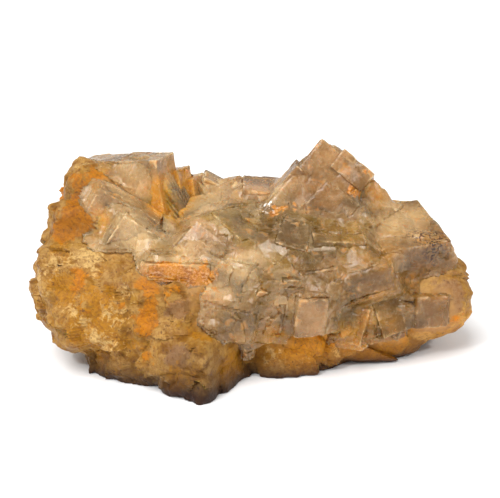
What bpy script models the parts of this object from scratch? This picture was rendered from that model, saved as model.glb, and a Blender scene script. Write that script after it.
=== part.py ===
"""Fluorite cluster: cubes of pale fluorite grown together on a block of iron-stained vein rock.

The rock is a cube grid sent out from one heart point to a mass of lumps run together, with broken faces in it,
and it stands on a flat base.  Each group of crystals is a union of turned cubes with worn edges, and sits in
a pocket cut in the rock.  Sizes are in millimetres up to the last step, which makes them metres.  +Z is up,
+X runs along the cluster, -Y faces the showy side, and the origin is on the base, under the middle of the
whole cluster.
"""

from math import radians

import bmesh
import bpy
import numpy as np
from mathutils import Euler, Matrix, Vector

MM = 0.001
NAME = "fluorite_cluster"

# Driving dimensions, in millimetres.
SEAM = 0.3              # open seam between two pieces that touch
WEAR = 0.35             # width of the worn edge of a crystal
ORIGIN_SHIFT = (-0.92, 1.12, 0)     # from the frame of the tables below to the middle of the base
ROCK_CELLS = 18         # squares along each side of the six faces that the rock is sent out from
ROCK_HEART = (-4, 4, 15)            # the point that the rock's surface is sent out from
ROCK_STRETCH = (1.5, 1, 0.9)        # spreads the squares evenly over a mass that is longer than deep
ROCK_REACH = 75         # farther from the heart than any lump
ROCK_STEPS = 90         # steps in from there to the lumps, each half of the distance left
LUMP_BLEND = 4          # how softly one lump runs into the next
BREAK_COUNT = 260       # broken faces in the block of rock
BREAK_LEAN = 0.22       # how steeply a broken face leans
BREAK_RISE = 1.5        # a broken face stands in or out by no more than this
BREAK_BLOCK = ((-58, -30, -2), (58, 28, 52))        # the block that the seeds of the faces are scattered in
BREAK_SEED = 5
CRUMB = 7               # loose bits up to this size, left between the pockets, fall out

# Lumps of the rock: centre, half sizes, squareness (2 an egg, 8 a block), turn in degrees about X, Y and Z.
ROCK_LUMPS = (
    ((-32.5, -1, 18), (22, 17, 13.5), 2.7, (0, 0, 0)),       # left belly
    ((-44.8, -3, 26.5), (7, 9, 7), 3, (0, 0, 0)),            # hump at the belly's left
    ((-19, -4, 18), (15, 14, 12), 4, (0, 0, 0)),             # shelf in front of the crystals
    ((-26, -5, 7), (16, 14, 12), 3, (0, 0, -29)),            # left of the base
    ((-42.5, 8.5, 33.5), (6.5, 7.5, 15), 4, (0, 14, 0)),     # left shoulder
    ((-43.5, 2, 36), (5, 6, 6), 3, (0, 0, 0)),               # hump beside the left crystals
    ((-28, 16, 26), (17, 9.5, 12.5), 4, (0, 6, -8)),         # wall behind the left crystals
    ((-12, -16.5, 2), (7.5, 10.5, 13), 6, (0, 0, -30)),      # foot
    ((2, 4, 8), (22, 17, 13), 4, (0, 0, 0)),                 # front of the base
    ((1.5, 8, 21), (30, 15, 13), 3.5, (0, 0, 0)),            # seat of the middle crystals
    ((29, 8, 10), (16.5, 16, 12), 4, (0, 0, 9)),             # right of the base
    ((47, 6, 14), (8.3, 11, 10), 2.5, (0, 0, 0)),            # right knob
)

# Crystals of each group: centre, size, turn in degrees about X, Y and Z, and the wear of a rounder one.
CRYSTALS = {
    "left_back_crystals": (
        ((-30.6, 11.5, 40.2), (24, 9, 18), (-3, -10, -27)),
        ((-26.2, 13, 41.6), (9, 5, 16), (-3, -8, -27)),
        ((-20.5, 12.6, 37.5), (11, 7, 16), (-5, -12, -24)),
        ((-16.5, 15.2, 35.6), (9, 6, 14), (-5, -12, -24)),
    ),
    "left_front_crystals": (
        ((-33.4, 1.4, 34), (17, 10, 18), (-2, 29, -6)),
        ((-26.9, -4, 32.6), (14, 9, 11), (0, 33, -8)),
        ((-20.5, -8.5, 29.5), (9, 9, 8), (2, 4, 12)),
    ),
    "back_left_crystal": (
        ((-10.4, 19, 35.6), (9, 7, 11), (0, 29, 0)),
    ),
    "slab_crystals": (
        ((-8.7, 9.6, 31.8), (21, 11, 14), (12, -4, 24), 1.2),
        ((-3, -1.6, 30.2), (12, 13, 15), (16, 4, 39)),
        ((4.5, 15, 34), (14, 12, 14), (0, 5, 0)),
        ((-17, 4.5, 30), (9, 9, 9), (8, 12, 28)),
    ),
    "peak_crystals": (
        ((16.4, 10, 39.4), (14.8, 14, 24.2), (-33, 33, -24), 0.9),
        ((25.8, 9.5, 45.9), (10, 9.8, 5.8), (-33, 33, -24)),
        ((20.4, 6.3, 37.2), (10.6, 10.5, 10.2), (-33, 33, -24)),
        ((10, 9, 44.5), (3, 6, 9), (0, 41, 0)),
    ),
    "amber_crystal": (
        ((30.6, 15, 34.6), (9, 8, 9), (5, 45, -10)),
    ),
    "right_crystal": (
        ((37.8, 6, 25.5), (18.5, 19.5, 17.5), (14, -2, 21), 0.7),
        ((41.3, 9.3, 29), (10, 9, 10), (14, -2, 32)),
    ),
    "dome_crystal": (
        ((26.5, -6.6, 26), (14.5, 15, 8), (8, -13, 11), 2),
    ),
    "middle_crystals": (
        ((5.2, -6.8, 27.3), (7, 11, 10), (20, 15, 25)),
        ((4.9, -3.3, 29.2), (9, 8, 11), (15, 20, -15)),
        ((10.4, -5, 31.2), (8, 9, 10), (22, 12, -12)),
        ((15.5, -7.1, 25.1), (9, 13, 12), (15, -5, 10)),
        ((15.6, -8.5, 29.4), (5, 7, 4), (24, 30, 24)),
        ((21, -4.5, 31), (13, 9, 9), (10, 5, 10)),
        ((5.3, 4, 31), (10, 10, 12), (6, 3, -9)),
        ((10.5, 1.5, 31.5), (9, 9, 12), (5, 2, 10)),
        ((17, 1.5, 31), (10, 9, 10), (12, 8, -10)),
        ((24.5, 3, 31.5), (10, 9, 9), (8, -5, 16)),
        ((15, -10, 23), (10, 9, 9), (6, -4, 12)),
        ((20.5, -9, 21.5), (8, 8, 9), (5, 12, -20)),
    ),
    "ledge_crystals": (
        ((-10.4, -8.5, 30.6), (9, 13, 10), (38, -40, 32)),
        ((-17.6, -9.5, 26.3), (17, 13.5, 11), (2, 0, -2)),
        ((-3.3, -10.4, 25.7), (12, 15, 12), (-10, 10, -30), 1.8),
        ((1.9, -11.4, 22.9), (10, 12, 11), (30, 20, 30)),
        ((-3.7, -13.6, 18.1), (13, 13, 9), (5, 10, -15), 1.8),
        ((0.3, -12.2, 15.1), (9, 11, 9), (20, -20, 10)),
        ((5.5, -12, 19.5), (9, 9, 9), (15, 12, -20)),
        ((3.5, -11.5, 14), (10, 9, 8), (-8, 15, 25)),
    ),
    "block_crystals": (
        ((8.8, -12.4, 24.9), (5, 8, 7), (10, 6, 16)),
        ((10.2, -12.5, 22.7), (6.5, 11, 8), (5, 5, -8)),
        ((13.6, -13.5, 19.3), (8, 12, 11), (8, 3, 12), 0.9),
    ),
    "lower_crystals": (
        ((27.8, -7.4, 12.2), (6, 9, 10), (-15, 8, -30)),
        ((32.9, -5.4, 14.1), (7, 10, 11), (-20, -12, 25)),
        ((44, -2.6, 14.4), (9.5, 10, 8.5), (-4, 5, 20), 0.8),
        ((38.2, -3.1, 12.9), (4, 9, 11), (-10, 25, -10)),
        ((21.4, -8.2, 15.2), (6, 9, 10), (-15, -20, 30)),
        ((27.5, -4.5, 17.5), (10, 9, 9), (-12, 10, 18)),
        ((21.5, -6, 13), (7, 8, 8), (-8, -12, 24)),
        ((34, -3.5, 12), (9, 8, 9), (-10, 22, 8)),
    ),
}

# Looks: base colour, roughness, metallic.
ROCK_LOOK = ((0.50, 0.33, 0.15, 1), 0.75, 0)
CRYSTAL_LOOK = ((0.60, 0.48, 0.34, 1), 0.25, 0)
AMBER_LOOK = ((0.45, 0.18, 0.03, 1), 0.25, 0)


def turn_matrix(turn):
    """Rotation matrix of three turns in degrees, about X, then Y, then Z."""
    return Euler([radians(angle) for angle in turn]).to_matrix()


def lump_distance(points, centre, half, squareness, turn):
    """Distance left to a lump along the line to its centre, below zero inside the lump."""
    local = (points - np.array(centre)) @ np.array(turn_matrix(turn))
    k = (np.abs(local / half) ** squareness).sum(axis=1) ** (1 / squareness)
    return (1 - 1 / np.maximum(k, 0.05)) * np.linalg.norm(local, axis=1)


def soft_union(first, second):
    """The lesser of two distances, with the valley between them filled over LUMP_BLEND."""
    share = np.clip(0.5 + 0.5 * (second - first) / LUMP_BLEND, 0, 1)
    return second + (first - second) * share - LUMP_BLEND * share * (1 - share)


def rock_distance(points):
    """Distance from the mass of all the lumps, run together."""
    total = lump_distance(points, *ROCK_LUMPS[0])
    for lump in ROCK_LUMPS[1:]:
        total = soft_union(total, lump_distance(points, *lump))
    return total


def break_height(points):
    """Broken faces: the block is parted among scattered seeds, and each seed's share has a lean of its own."""
    random = np.random.default_rng(BREAK_SEED)
    seeds = random.uniform(*BREAK_BLOCK, (BREAK_COUNT, 3))
    leans = random.normal(size=(BREAK_COUNT, 3)) * BREAK_LEAN
    nearest = np.linalg.norm(points[:, None] - seeds, axis=2).argmin(axis=1)
    rise = ((points - seeds[nearest]) * leans[nearest]).sum(axis=1)
    return np.clip(rise, -BREAK_RISE, BREAK_RISE)


def rock_surface(directions):
    """Steps in from far out to the lumps by the distance left, adds the broken faces, and stops at the base."""
    heart = np.array(ROCK_HEART)
    radius = np.full(len(directions), float(ROCK_REACH))
    for _ in range(ROCK_STEPS):
        radius -= 0.5 * rock_distance(heart + directions * radius[:, None])
    radius += break_height(heart + directions * radius[:, None])
    downward = np.minimum(directions[:, 2], -1e-6)
    to_base = np.where(directions[:, 2] < 0, heart[2] / -downward, np.inf)
    return heart + directions * np.minimum(radius, to_base)[:, None]


def new_object(name, shape):
    """An object in the scene's own collection from a bmesh in millimetres, placed in metres."""
    place = Matrix.Scale(MM, 4) @ Matrix.Translation(ORIGIN_SHIFT)
    bmesh.ops.transform(shape, matrix=place, verts=shape.verts)
    mesh = bpy.data.meshes.new(name)
    shape.to_mesh(mesh)
    shape.free()
    obj = bpy.data.objects.new(name, mesh)
    bpy.context.scene.collection.objects.link(obj)
    return obj


def rock():
    """A cube grid whose points are sent out from the heart to the rock's surface."""
    grid = bmesh.new()
    bmesh.ops.create_cube(grid, size=2)
    bmesh.ops.subdivide_edges(grid, edges=grid.edges[:], cuts=ROCK_CELLS - 1, use_grid_fill=True)
    points = np.array([vertex.co for vertex in grid.verts])
    points = np.tan(points * np.pi / 4) * ROCK_STRETCH
    directions = points / np.linalg.norm(points, axis=1, keepdims=True)
    for vertex, place in zip(grid.verts, rock_surface(directions)):
        vertex.co = place
    return new_object("matrix", grid)


def crystal(name, centre, size, turn, wear=WEAR, grown=0):
    """One block with worn edges, two facets wide on a rounder one, grown by a margin on every side."""
    shape = bmesh.new()
    bmesh.ops.create_cube(shape, size=1)
    bmesh.ops.scale(shape, vec=Vector(size) + Vector((2 * grown,) * 3), verts=shape.verts)
    facets = 2 if wear > 1 else 1
    bmesh.ops.bevel(shape, geom=shape.edges[:], offset=wear, segments=facets, profile=0.5, affect="EDGES")
    place = Matrix.Translation(centre) @ turn_matrix(turn).to_4x4()
    bmesh.ops.transform(shape, matrix=place, verts=shape.verts)
    return new_object(name, shape)


def boolean(obj, others, operation):
    """Joins all the others to obj at once, or cuts them all from it; either way the others are used up."""
    operands = bpy.data.collections.new("operands")
    for other in others:
        operands.objects.link(other)
    modifier = obj.modifiers.new(operation, "BOOLEAN")
    modifier.operation = operation
    modifier.solver = "EXACT"
    modifier.operand_type = "COLLECTION"
    modifier.collection = operands
    bpy.context.view_layer.update()
    result = bpy.data.meshes.new_from_object(obj.evaluated_get(bpy.context.evaluated_depsgraph_get()))
    obj.modifiers.clear()
    obj.data = result
    for other in others:
        bpy.data.objects.remove(other)
    bpy.data.collections.remove(operands)


def drop_crumbs(obj):
    """Removes the loose bits that the cuts leave, each found by walking from face to face."""
    shape = bmesh.new()
    shape.from_mesh(obj.data)
    waiting = set(shape.verts)
    crumbs = []
    while waiting:
        body = {waiting.pop()}
        edge_of_walk = list(body)
        while edge_of_walk:
            vertex = edge_of_walk.pop()
            near = {edge.other_vert(vertex) for edge in vertex.link_edges} - body
            body |= near
            edge_of_walk += near
        waiting -= body
        places = np.array([vertex.co for vertex in body])
        if np.ptp(places, axis=0).max() < CRUMB * MM:
            crumbs += body
    bmesh.ops.delete(shape, geom=crumbs, context="VERTS")
    shape.to_mesh(obj.data)
    shape.free()


def crystals(groups, grown=0):
    """The single crystals of the named groups, each a closed block."""
    return [crystal(name, *block, grown=grown) for name in groups for block in CRYSTALS[name]]


def finish(obj, name, look, parts):
    """Names the piece, moves it to the parts' collection and gives it a material of its own."""
    obj.name = obj.data.name = name
    bpy.context.scene.collection.objects.unlink(obj)
    parts.objects.link(obj)
    material = bpy.data.materials.new(name)
    material.use_nodes = True
    shader = material.node_tree.nodes["Principled BSDF"]
    colour, roughness, metallic = look
    shader.inputs["Base Color"].default_value = colour
    shader.inputs["Roughness"].default_value = roughness
    shader.inputs["Metallic"].default_value = metallic
    obj.data.materials.clear()
    obj.data.materials.append(material)


def main():
    for old in list(bpy.data.objects):
        bpy.data.objects.remove(old)
    parts = bpy.data.collections.new(NAME)
    bpy.context.scene.collection.children.link(parts)
    matrix = rock()
    boolean(matrix, crystals(CRYSTALS, grown=SEAM), "DIFFERENCE")
    drop_crumbs(matrix)
    finish(matrix, "matrix", ROCK_LOOK, parts)
    earlier = []
    for name in CRYSTALS:
        group, *rest = crystals([name])
        boolean(group, rest, "UNION")
        boolean(group, crystals(earlier, grown=SEAM), "DIFFERENCE")
        drop_crumbs(group)
        finish(group, name, AMBER_LOOK if name == "amber_crystal" else CRYSTAL_LOOK, parts)
        earlier.append(name)


main()
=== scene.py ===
# %% [markdown]
# # A fluorite cluster on its vein rock
#
# The real thing is a hand specimen: cubes of pale, cloudy fluorite that grew on a broken block of quartzy
# rock, which iron has stained orange.  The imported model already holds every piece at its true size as
# plain faceted solids.  This lesson dresses them: it works out a fine surface for the rock and for each
# group of crystals with numpy, and gives every surface a material built from nodes.

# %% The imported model
from math import radians

import bpy
import numpy as np
from mathutils import Euler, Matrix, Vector


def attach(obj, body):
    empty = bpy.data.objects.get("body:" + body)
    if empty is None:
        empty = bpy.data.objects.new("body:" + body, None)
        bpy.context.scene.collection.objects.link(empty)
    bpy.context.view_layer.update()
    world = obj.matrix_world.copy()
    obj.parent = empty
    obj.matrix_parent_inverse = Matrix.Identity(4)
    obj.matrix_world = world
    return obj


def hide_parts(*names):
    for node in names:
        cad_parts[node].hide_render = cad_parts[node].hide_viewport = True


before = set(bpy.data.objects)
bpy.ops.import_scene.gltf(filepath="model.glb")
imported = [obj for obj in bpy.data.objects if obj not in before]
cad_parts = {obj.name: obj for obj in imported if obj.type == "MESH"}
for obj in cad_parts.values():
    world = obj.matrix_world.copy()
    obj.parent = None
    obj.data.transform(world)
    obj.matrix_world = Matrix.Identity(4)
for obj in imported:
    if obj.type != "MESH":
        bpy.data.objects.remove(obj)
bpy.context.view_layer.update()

# %% [markdown]
# ## The measures that everything shares
#
# The shapes below are worked out in millimetres, in the frame that the specimen was first laid out in.
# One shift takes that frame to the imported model's, whose origin is under the middle of the cluster.  The
# rock is described as a mass of lumps, and each crystal as a turned block, with the same values as the
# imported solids, so the fine surfaces land where the solids are.

# %% Measures
MM = 0.001
ORIGIN_SHIFT = np.array((-0.92, 1.12, 0))       # from the tables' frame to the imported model's
ROCK_CELLS = 128                # squares along each side of the six faces that the rock is sent out from
ROCK_HEART = np.array((-4, 4, 15))              # the point that the rock's surface is sent out from
ROCK_STRETCH = (1.5, 1, 0.9)    # spreads the squares evenly over a mass that is longer than deep
ROCK_REACH = 75                 # farther from the heart than any lump
ROCK_STEPS = 45                 # steps in from there to the lumps
ROCK_STRIDE = 0.7               # share of the distance left that one step covers
LUMP_BLEND = 4                  # how softly one lump runs into the next
BREAK_COUNT = 260               # large broken faces in the block of rock
BREAK_LEAN = 0.22               # how steeply a large broken face leans
BREAK_RISE = 1.5                # a large broken face stands in or out by no more than this
BREAK_SEED = 5
BREAK_BLOCK = ((-58, -30, -2), (58, 28, 52))    # the block that the seeds of those faces are scattered in

# Lumps of the rock: centre, half sizes, squareness (2 an egg, 8 a block), turn in degrees about X, Y and Z.
ROCK_LUMPS = (
    ((-32.5, -1, 18), (22, 17, 13.5), 2.7, (0, 0, 0)),       # left belly
    ((-44.8, -3, 26.5), (7, 9, 7), 3, (0, 0, 0)),            # hump at the belly's left
    ((-19, -4, 18), (15, 14, 12), 4, (0, 0, 0)),             # shelf in front of the crystals
    ((-26, -5, 7), (16, 14, 12), 3, (0, 0, -29)),            # left of the base
    ((-42.5, 8.5, 33.5), (6.5, 7.5, 15), 4, (0, 14, 0)),     # left shoulder
    ((-43.5, 2, 36), (5, 6, 6), 3, (0, 0, 0)),               # hump beside the left crystals
    ((-28, 16, 26), (17, 9.5, 12.5), 4, (0, 6, -8)),         # wall behind the left crystals
    ((-12, -16.5, 2), (7.5, 10.5, 13), 6, (0, 0, -30)),      # foot
    ((2, 4, 8), (22, 17, 13), 4, (0, 0, 0)),                 # front of the base
    ((1.5, 8, 21), (30, 15, 13), 3.5, (0, 0, 0)),            # seat of the middle crystals
    ((29, 8, 10), (16.5, 16, 12), 4, (0, 0, 9)),             # right of the base
    ((47, 6, 14), (8.3, 11, 10), 2.5, (0, 0, 0)),            # right knob
)

# %% [markdown]
# ## Noise as whole arrays
#
# Rock is irregular at every scale.  Blender's own displacement could do that, but its patterns can't be
# read back, and the crust and the stains below need them.  So two seeded patterns are written here, and
# both look up every point at once: a smooth noise, which blends random values between the corners of a
# grid, and broken faces, which part space among scattered seeds and give each seed's share its own lean,
# as a hammer leaves stone.

# %% Noise helpers
TABLE_SIZE = 4096


def pick(cells, seed, width=1):
    """Random rows for whole-number cells: the cell's three numbers are mixed to one place in a table."""
    table = np.random.default_rng(seed).random((TABLE_SIZE, width))
    x, y, z = np.moveaxis(cells.astype(np.int64), -1, 0)
    return table[(x * 73856093 ^ y * 19349663 ^ z * 83492791) % TABLE_SIZE]


def smooth_noise(points, scale, seed):
    """-1 to 1: random values at the corners of a grid of that scale, eased from corner to corner."""
    places = points / scale
    cells = np.floor(places)
    part = places - cells
    part = part * part * (3 - 2 * part)
    total = np.zeros(len(points))
    for corner in np.ndindex(2, 2, 2):
        share = np.where(corner, part, 1 - part).prod(axis=1)
        total += share * pick(cells + corner, seed)[:, 0]
    return 2 * total - 1


def cloudy_noise(points, scale, seed, layers=3):
    """Smooth noise and finer, fainter layers of itself: each has half the scale and half the height."""
    total = sum(smooth_noise(points, scale / 2 ** k, seed + k) / 2 ** k for k in range(layers))
    return total / (2 - 2 ** (1 - layers))


def wandering(points, amount, scale, seed):
    """The points, each moved up to the amount along X, Y and Z by three clouds of noise."""
    return points + amount * np.column_stack([cloudy_noise(points, scale, seed + k) for k in range(3)])


def near_seeds(points, scale, seed):
    """A grid has one seed in each cell: gives the 27 cells round the points, and the way from each seed."""
    cells = np.floor(points / scale)
    for offset in np.ndindex(3, 3, 3):
        near = cells + offset - 1
        yield near, points - (near + pick(near, seed, 3)) * scale


def large_breaks(points):
    """Each seed's share of the block leans its own way: rise is the lean times the way from the seed."""
    random = np.random.default_rng(BREAK_SEED)
    seeds = random.uniform(*BREAK_BLOCK, (BREAK_COUNT, 3))
    leans = random.normal(size=(BREAK_COUNT, 3)) * BREAK_LEAN
    nearest = (((seeds ** 2).sum(axis=1)) - 2 * points @ seeds.T).argmin(axis=1)
    rise = ((points - seeds[nearest]) * leans[nearest]).sum(axis=1)
    return np.clip(rise, -BREAK_RISE, BREAK_RISE)


def small_breaks(points, scale, lean, limit, seed):
    """The same for one seed in each cell of a grid: of the 27 round a point, the nearest seed wins."""
    best = np.full(len(points), np.inf)
    rise = np.zeros(len(points))
    for near, away in near_seeds(points, scale, seed):
        distance = (away ** 2).sum(axis=1)
        leaning = (away * (pick(near, seed + 1, 3) - 0.5)).sum(axis=1) * 2 * lean
        rise = np.where(distance < best, leaning, rise)
        best = np.minimum(distance, best)
    return np.clip(rise, -limit, limit)


# %% [markdown]
# ## A box of squares
#
# Both the rock and the crystals are closed lumps.  A sphere from rings would crowd its points at two
# poles, so both start from the six faces of a box, each cut into squares.  The faces meet along shared
# points, so the mesh is closed from the start and has no pole.

# %% Box of squares
def box_of_squares(counts):
    """Lattice points and quads of a closed box: all whole-number points with one coordinate at its end.

    A quad is four neighbours on one face, turned so that it faces out, and equal points are merged.
    """
    points, quads, start = [], [], 0
    for axis in range(3):
        u, v = (axis + 1) % 3, (axis + 2) % 3
        for side in (0, 1):
            grid = np.zeros((counts[u] + 1, counts[v] + 1, 3), int)
            grid[..., axis] = side * counts[axis]
            grid[..., u] = np.arange(counts[u] + 1)[:, None]
            grid[..., v] = np.arange(counts[v] + 1)
            index = start + np.arange(grid[..., 0].size).reshape(grid.shape[:2])
            quad = np.stack([index[:-1, :-1], index[1:, :-1], index[1:, 1:], index[:-1, 1:]], axis=-1)
            quads.append((quad if side else quad[..., ::-1]).reshape(-1, 4))
            points.append(grid.reshape(-1, 3))
            start += index.size
    points, quads = np.concatenate(points), np.concatenate(quads)
    keys = points @ (1, 10 ** 4, 10 ** 8)
    _, first, place = np.unique(keys, return_index=True, return_inverse=True)
    return points[first], place.reshape(-1)[quads]


def new_piece(name, points, quads):
    """A mesh object from points in millimetres in the tables' frame, put in metres in the model's frame."""
    mesh = bpy.data.meshes.new(name)
    mesh.from_pydata(((points + ORIGIN_SHIFT) * MM).tolist(), [], quads.tolist())
    obj = bpy.data.objects.new(name, mesh)
    bpy.context.scene.collection.objects.link(obj)
    return obj


def mesh_points(obj):
    """The points of a mesh as an array, in millimetres in the tables' frame."""
    places = np.empty(len(obj.data.vertices) * 3)
    obj.data.vertices.foreach_get("co", places)
    return places.reshape(-1, 3) / MM - ORIGIN_SHIFT


def paint(obj, name, values):
    """Stores one number, or one colour, for each point of the mesh."""
    kind, field = ("FLOAT", "value") if values.ndim == 1 else ("FLOAT_COLOR", "color")
    if values.ndim == 2:
        values = np.column_stack([values, np.ones(len(values))])
    layer = obj.data.attributes.new(name, kind, "POINT")
    layer.data.foreach_set(field, values.astype(np.float32).ravel())


def turn_matrix(turn):
    """Rotation matrix of three turns in degrees, about X, then Y, then Z."""
    return np.array(Euler([radians(angle) for angle in turn]).to_matrix())


# %% [markdown]
# ## The rock
#
# The rock is a rough block with no symmetry, so it can't be turned on an axis or swept along a path.  It
# could be sculpted by hand, but a mass of lumps that run together can be changed by one row of a table,
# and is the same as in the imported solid.  From one heart point a ray goes out through each lattice point
# of the box, and the surface is where the ray meets the lumps.  Broken faces, knobs, pits and cracks are
# then added along the ray, and the whole is cut off flat at the base.

# %% Distance from the rock's lumps
def lump_distance(points, centre, half, squareness, turn):
    """Distance left to a lump along the line to its centre, below zero inside the lump.

    k is the root of the sum of the coordinates over the half sizes, each to the power of the squareness.
    """
    local = (points - np.array(centre)) @ turn_matrix(turn)
    k = (np.abs(local / half) ** squareness).sum(axis=1) ** (1 / squareness)
    return (1 - 1 / np.maximum(k, 0.05)) * np.linalg.norm(local, axis=1)


def soft_union(first, second):
    """The lesser of two distances, with the valley between them filled over LUMP_BLEND."""
    share = np.clip(0.5 + 0.5 * (second - first) / LUMP_BLEND, 0, 1)
    return second + (first - second) * share - LUMP_BLEND * share * (1 - share)


def rock_distance(points):
    """Distance from the mass of all the lumps, run together."""
    total = lump_distance(points, *ROCK_LUMPS[0])
    for lump in ROCK_LUMPS[1:]:
        total = soft_union(total, lump_distance(points, *lump))
    return total


def rock_radius(heart, ways):
    """How far from a heart point the lumps end: steps in from outside, by a share of the distance left."""
    radius = np.full(len(ways), float(ROCK_REACH))
    for _ in range(ROCK_STEPS):
        radius -= ROCK_STRIDE * rock_distance(heart + ways * radius[:, None])
    return radius


# %% Relief of the rock
ROCK_BEND = 1.2                 # noise bends the small patterns by up to this, so that no grid shows
LARGE_KNOBS = 1.3               # heights of the patterns, in millimetres
SMALL_KNOBS = 0.45
ROCK_GRAIN = 0.2
PIT_DEPTH = 0.6
PIT_SHARE = 0.2                 # share of the cells that hold a pit
CRACK_DEPTH = 0.35
CRACK_WIDTH = 0.03              # a crack runs where its noise is this near to zero


def pits(points, scale, seed, share):
    """0 to 1 in small round holes: that share of a grid's seeds is a hole, of 0.15 to 0.45 of a cell."""
    depth = np.zeros(len(points))
    for near, away in near_seeds(points, scale, seed):
        size = scale * (0.15 + 0.3 * pick(near, seed + 1)[:, 0])
        hole = np.clip(1.4 - np.linalg.norm(away, axis=1) / size, 0, 1)
        depth = np.maximum(depth, np.where(pick(near, seed + 2)[:, 0] < share, hole, 0))
    return depth


def knobs(points, scale, seed):
    """0 to 1: a rounded knob on each seed of a grid, which falls with the square of the distance."""
    height = np.zeros(len(points))
    for near, away in near_seeds(points, scale, seed):
        size = scale * (0.5 + 0.35 * pick(near, seed + 1)[:, 0])
        height = np.maximum(height, 1 - (away ** 2).sum(axis=1) / size ** 2)
    return height


def rock_relief(points):
    """Height of the broken surface over the lumps, the sum of patterns from large to small."""
    bent = wandering(points, ROCK_BEND, scale=6, seed=11)
    height = large_breaks(points)
    height += small_breaks(bent, scale=6.5, lean=0.16, limit=0.5, seed=21)
    height += LARGE_KNOBS * (knobs(bent, scale=6, seed=31) - 0.5)
    height += SMALL_KNOBS * (knobs(bent, scale=2.6, seed=36) - 0.5)
    height += ROCK_GRAIN * cloudy_noise(points, scale=2, seed=41)
    height -= PIT_DEPTH * pits(bent, 3.6, 51, PIT_SHARE)
    crack = np.abs(cloudy_noise(bent, scale=11, seed=61))
    return height - CRACK_DEPTH * np.clip(1 - crack / CRACK_WIDTH, 0, 1)


# %% The rock's mesh
def rock_surface(directions):
    """Where each ray meets the lumps, with the relief added along it, and no lower than the base."""
    radius = rock_radius(ROCK_HEART, directions)
    radius += rock_relief(ROCK_HEART + directions * radius[:, None])
    downward = np.minimum(directions[:, 2], -1e-6)
    to_base = np.where(directions[:, 2] < 0, ROCK_HEART[2] / -downward, np.inf)
    return ROCK_HEART + directions * np.minimum(radius, to_base)[:, None]


lattice, rock_quads = box_of_squares((ROCK_CELLS,) * 3)
sent = np.tan((lattice / ROCK_CELLS * 2 - 1) * np.pi / 4) * ROCK_STRETCH
rock = new_piece("rock", rock_surface(sent / np.linalg.norm(sent, axis=1, keepdims=True)), rock_quads)
print("rock:", len(rock.data.vertices), "points")

# %% [markdown]
# ## The crystals
#
# Fluorite grows as cubes, and a natural cube is never a plain one: its edges are worn round, its faces
# carry low square steps where layers stopped growing, and bits have broken from its edges.  A cube with a
# bevel would have the edges alone.  So each crystal here is a box of squares, turned and placed as in the
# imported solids, because each of its points can then be moved by itself: the faces get steps in relief and
# the edges get chips.  The crystals of a group have grown through each other, so they are joined in one
# skin, and light that passes through meets no wall inside.

# %% Crystals of each group
WEAR = 0.35                     # how far the edges are worn round, where a crystal doesn't say otherwise

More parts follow.
